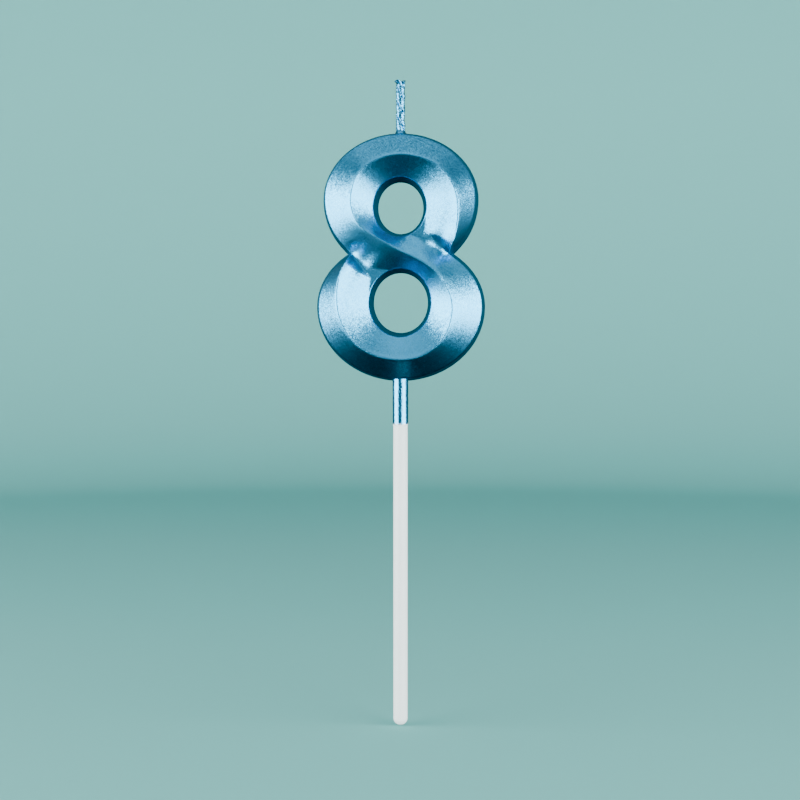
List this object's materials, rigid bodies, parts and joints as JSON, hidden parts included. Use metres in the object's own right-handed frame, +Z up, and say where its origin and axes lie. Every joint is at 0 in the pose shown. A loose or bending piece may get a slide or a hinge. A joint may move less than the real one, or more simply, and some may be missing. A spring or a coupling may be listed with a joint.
{
  "type": "number birthday candle",
  "caption": "Numeral 8 candle with a ridged metallic front and flat back, a twisted wick on top and a round-tipped white pick below that pushes into a cake.",
  "frame": {"origin": "the rounded tip of the pick, on the pick's axis", "axes": "+Z up the pick to the wick, +Y out of the numeral's flat back, so the ridged front looks to -Y and +X is to a viewer's right"},
  "size_m": [0.0354, 0.0084, 0.1353],
  "materials": {
    "metallic_wax": "fine metallic flake, satin",
    "white_plastic": "satin",
    "metallic_coat": "metallic, glossy",
    "coated_wick": "waxed and metallic coated"
  },
  "bodies": {
    "root": {"numeral": "metallic_wax", "pick": "white_plastic", "pick_collar": "metallic_coat", "wick_ply_1": "coated_wick", "wick_ply_2": "coated_wick", "wick_ply_3": "coated_wick"}
  },
  "joints": []
}
